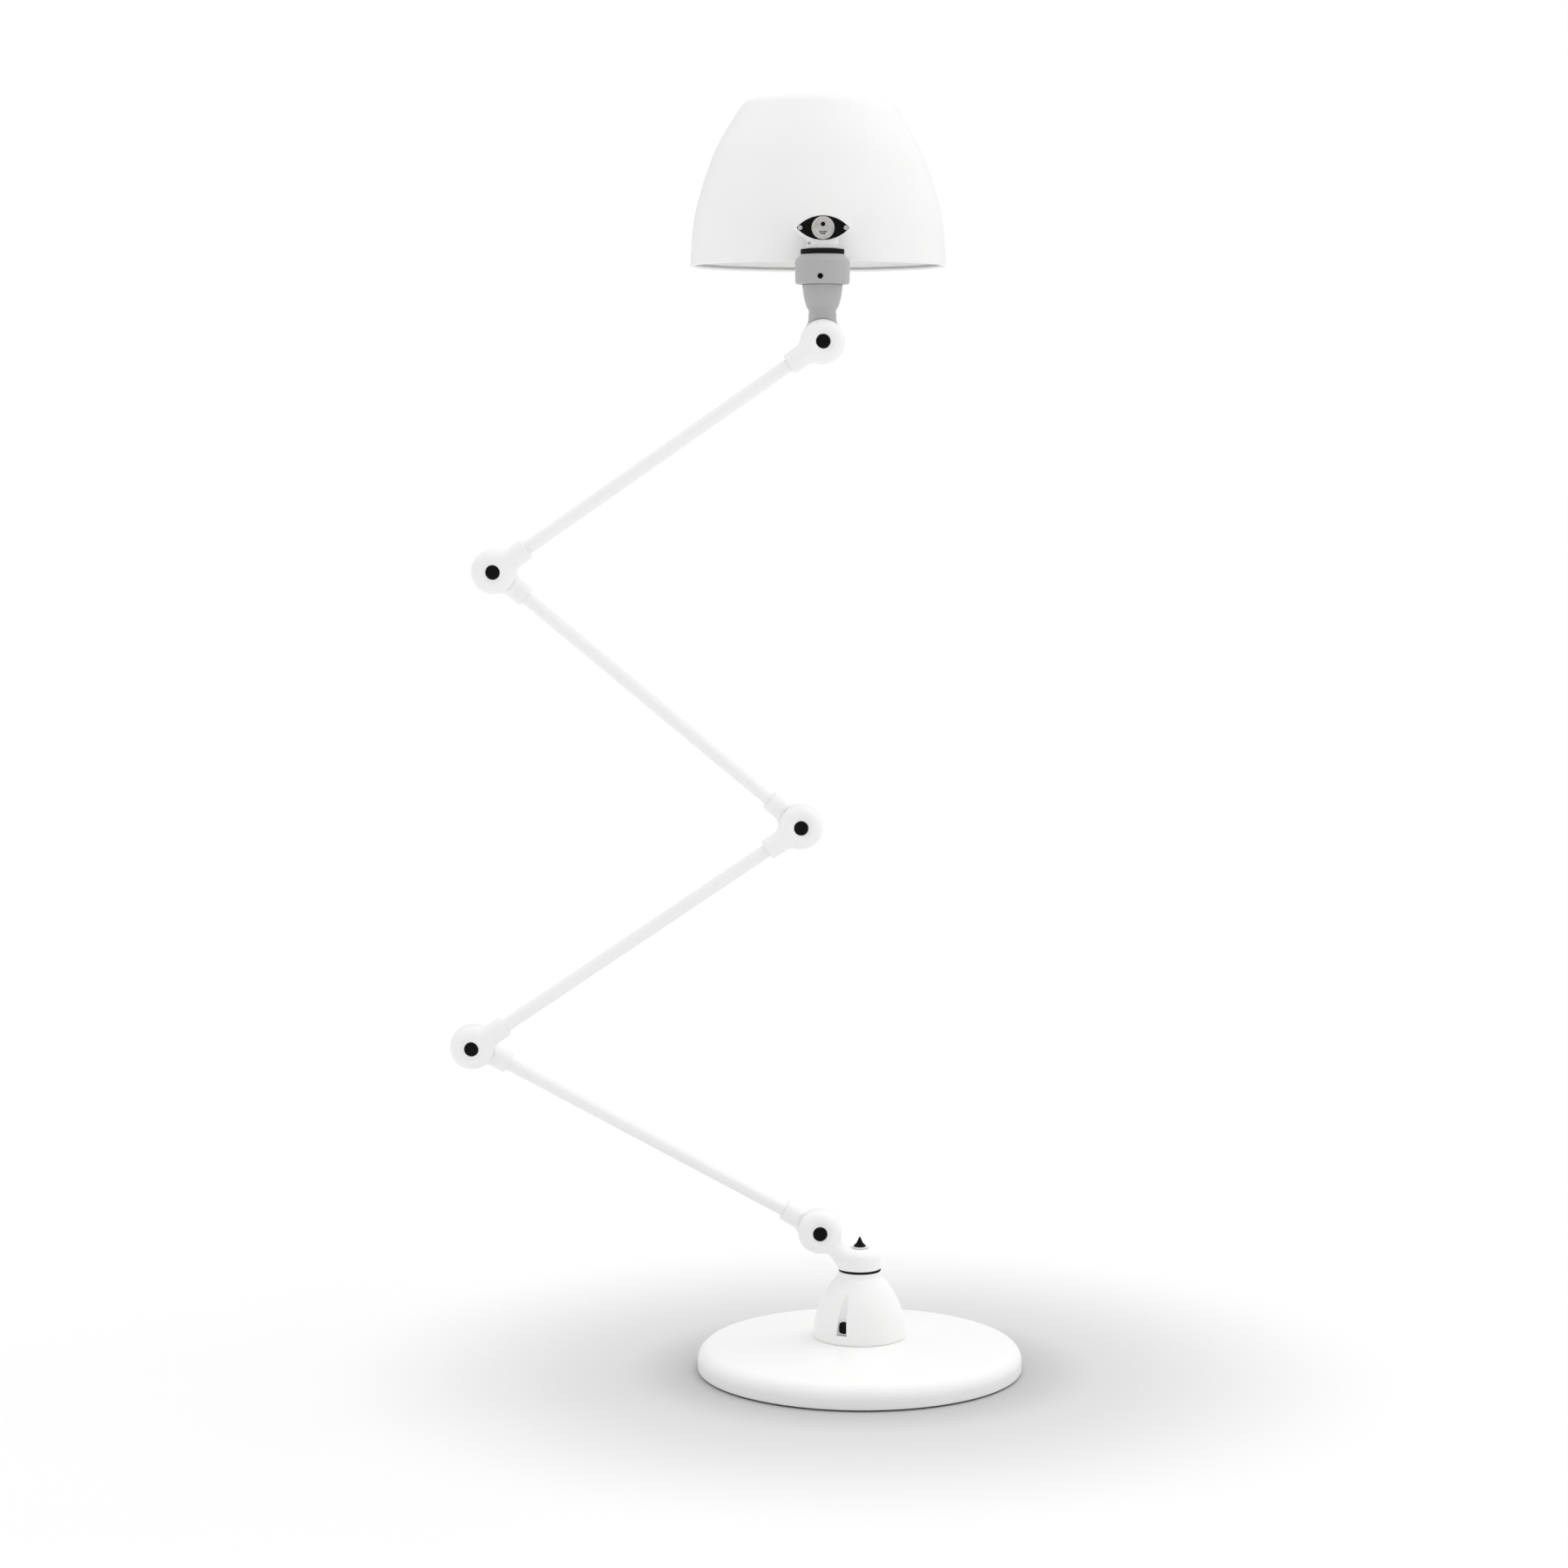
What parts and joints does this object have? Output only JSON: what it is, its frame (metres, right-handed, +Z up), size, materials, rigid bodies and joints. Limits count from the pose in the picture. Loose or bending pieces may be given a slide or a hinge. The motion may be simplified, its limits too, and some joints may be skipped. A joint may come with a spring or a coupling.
{
  "type": "floor lamp",
  "caption": "Floor lamp with a round weighted base, a zigzag of jointed tube arms that fold and swivel, and a tapered metal shade on a tilting, turning head.",
  "frame": {"origin": "centre of the base on the floor", "axes": "+Z up, the arms fold in the XZ plane and lean towards -X at the first elbow, -Y is the front with the switch and the badge"},
  "size_m": [0.6538, 0.5335, 1.4595],
  "materials": {
    "painted_casting": "gloss white paint over a smooth casting",
    "grey_casting": "light grey satin paint over a smooth casting",
    "painted_tube": "gloss white paint over drawn tube",
    "painted_sheet": "gloss white paint over pressed steel",
    "painted_shade": "satin white paint over spun aluminium",
    "white_plastic": "gloss",
    "zinc_steel": "bright zinc plate",
    "ballast_iron": "as cast, black primer",
    "base_pad": "matt fine grain",
    "black_rubber": "matt",
    "black_cap": "semi-gloss",
    "black_moulding": "matt moulding",
    "black_plate": "gloss black enamel",
    "bright_badge": "brushed bright metal",
    "lead_sheath": "matt sheath",
    "ceramic_holder": "glazed",
    "bulb_metal": "thin rolled thread",
    "frosted_glass": "frosted"
  },
  "bodies": {
    "base": {"base_cover": "painted_sheet", "base_weight": "ballast_iron", "base_plate": "zinc_steel", "base_pad": "base_pad", "base_screws": "zinc_steel", "cable_gland": "black_rubber", "base_bell": "painted_casting", "bell_screws": "zinc_steel", "switch_body": "black_moulding", "swivel_post": "zinc_steel", "swivel_gasket": "black_rubber", "cap_washer": "white_plastic", "dome_cap": "black_cap"},
    "switch": {"switch_lever": "black_cap"},
    "elbow": {"elbow": "painted_casting", "joint1_bolt": "zinc_steel", "joint1_contact_disc": "black_moulding", "joint1_caps": "black_cap"},
    "arm1": {"arm1_lower_shell": "painted_casting", "arm1_tube": "painted_tube", "arm1_upper_shell": "painted_casting", "arm1_leads": "lead_sheath", "joint2_bolt": "zinc_steel", "joint2_contact_disc": "black_moulding", "joint2_caps": "black_cap"},
    "arm2": {"arm2_lower_shell": "painted_casting", "arm2_tube": "painted_tube", "arm2_upper_shell": "painted_casting", "arm2_leads": "lead_sheath", "joint3_bolt": "zinc_steel", "joint3_contact_disc": "black_moulding", "joint3_caps": "black_cap"},
    "arm3": {"arm3_lower_shell": "painted_casting", "arm3_tube": "painted_tube", "arm3_upper_shell": "painted_casting", "arm3_leads": "lead_sheath", "joint4_bolt": "zinc_steel", "joint4_contact_disc": "black_moulding", "joint4_caps": "black_cap"},
    "arm4": {"arm4_lower_shell": "painted_casting", "arm4_tube": "painted_tube", "arm4_upper_shell": "painted_casting", "arm4_leads": "lead_sheath", "joint5_bolt": "zinc_steel", "joint5_contact_disc": "black_moulding", "joint5_caps": "black_cap"},
    "neck": {"neck": "grey_casting", "neck_collar": "grey_casting", "collar_screw": "black_cap", "head_post": "zinc_steel", "head_gasket": "black_rubber"},
    "shade_head": {"head_bracket": "painted_casting", "name_plate": "black_plate", "plate_disc": "bright_badge", "plate_rivets": "zinc_steel", "shade": "painted_shade", "shade_nut": "zinc_steel", "lamp_holder": "ceramic_holder", "bulb_cap": "bulb_metal", "bulb_glass": "frosted_glass"}
  },
  "joints": [
    {"name": "base_swivel", "type": "hinge", "parent": "base", "child": "elbow", "pos_m": [0, 0, 0.13], "axis": [0, 0, 1], "range_deg": [-170, 170]},
    {"name": "arm1_tilt", "type": "hinge", "parent": "elbow", "child": "arm1", "pos_m": [-0.046, 0, 0.162], "axis": [0, 1, 0], "range_deg": [-25, 75]},
    {"name": "arm2_fold", "type": "hinge", "parent": "arm1", "child": "arm2", "pos_m": [-0.44235, 0, 0.3772], "axis": [0, -1, 0], "range_deg": [-48, 120]},
    {"name": "arm3_fold", "type": "hinge", "parent": "arm2", "child": "arm3", "pos_m": [-0.06801, 0, 0.62874], "axis": [0, 1, 0], "range_deg": [-58, 110]},
    {"name": "arm4_fold", "type": "hinge", "parent": "arm3", "child": "arm4", "pos_m": [-0.414, 0, 0.91804], "axis": [0, -1, 0], "range_deg": [-60, 110]},
    {"name": "head_tilt", "type": "hinge", "parent": "arm4", "child": "neck", "pos_m": [-0.04366, 0, 1.17543], "axis": [0, 1, 0], "range_deg": [-75, 135]},
    {"name": "head_swivel", "type": "hinge", "parent": "neck", "child": "shade_head", "pos_m": [-0.04366, 0.0125, 1.28543], "axis": [0, 0, 1], "range_deg": [-170, 170]},
    {"name": "switch_rock", "type": "hinge", "parent": "base", "child": "switch", "pos_m": [-0.01767, -0.03622, 0.057], "axis": [0.8988, -0.4384, 0], "range_deg": [0, 30]}
  ]
}
